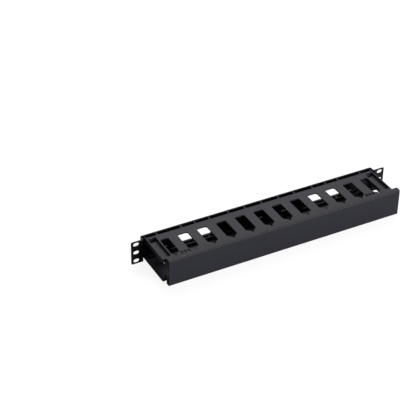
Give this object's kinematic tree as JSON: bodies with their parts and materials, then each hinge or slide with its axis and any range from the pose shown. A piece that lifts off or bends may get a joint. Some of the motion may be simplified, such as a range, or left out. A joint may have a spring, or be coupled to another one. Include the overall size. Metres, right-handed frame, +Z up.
{
  "type": "horizontal cable manager",
  "caption": "Horizontal rack cable manager: slotted finger combs on a bent steel back panel with mounting ears, closed by a removable front cover.",
  "frame": {"origin": "centre of the front faces of the two rack ears, midway between them and at half the unit height", "axes": "+X along the rack opening from left ear to right ear, +Y to the back of the rack, +Z up; the cover pulls off along -Y"},
  "size_m": [0.4826, 0.0875, 0.0496],
  "materials": {
    "powder_coated_steel": "fine-textured black powder coat",
    "comb_plastic": "matt moulded black plastic",
    "cover_plastic": "satin extruded black plastic"
  },
  "bodies": {
    "manager": {"back_panel": "powder_coated_steel", "top_finger_comb": "comb_plastic", "bottom_finger_comb": "comb_plastic"},
    "cover": {"front_cover": "cover_plastic"}
  },
  "joints": [
    {"name": "cover_pull", "type": "slide", "parent": "manager", "child": "cover", "axis": [0, -1, 0], "range_m": [0, 0.08]}
  ]
}
